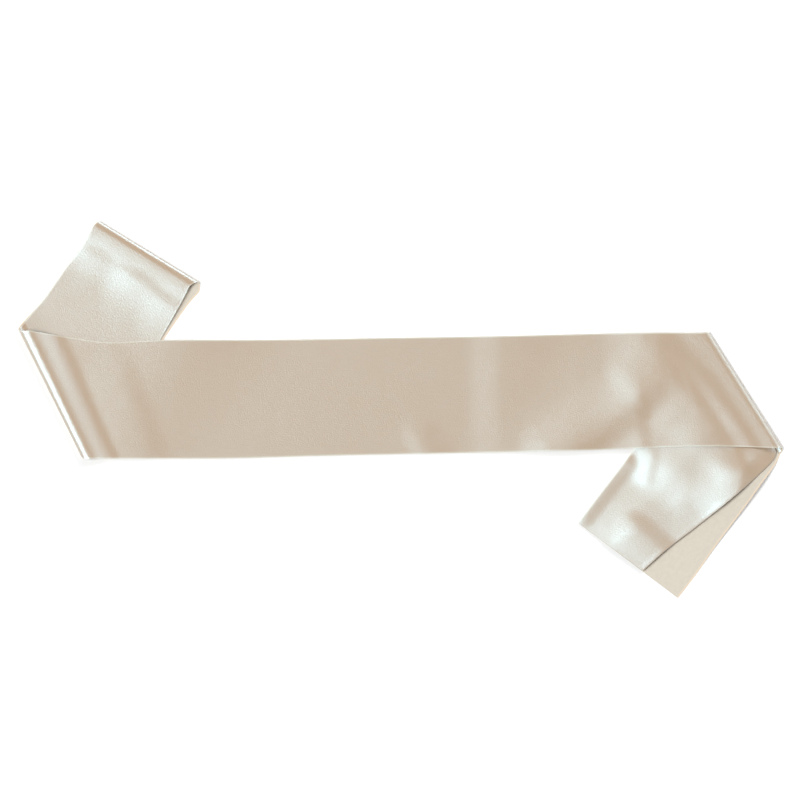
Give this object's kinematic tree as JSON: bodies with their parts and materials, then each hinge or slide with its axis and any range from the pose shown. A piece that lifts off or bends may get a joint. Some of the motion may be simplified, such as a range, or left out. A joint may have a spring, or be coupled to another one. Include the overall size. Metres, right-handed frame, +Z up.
{
  "type": "satin sash",
  "caption": "Long narrow plain satin sash, doubled and laid flat, with both ends of the doubled strip turned under at a slant.",
  "frame": {"origin": "middle of the laid-out sash in plan, on the surface it lies on", "axes": "+X along the long band towards the tail, +Y across it towards the short stub, +Z up"},
  "size_m": [0.6206, 0.3062, 0.0125],
  "materials": {
    "satin_face": "shiny champagne satin, fine weave, soft broad highlights",
    "satin_back": "matte cream back of the satin"
  },
  "bodies": {
    "root": {"front_band": "satin_face", "hidden_band": "satin_back", "stub_upper": "satin_face", "stub_under": "satin_back", "tail_upper": "satin_face", "tail_under": "satin_back"}
  },
  "joints": []
}
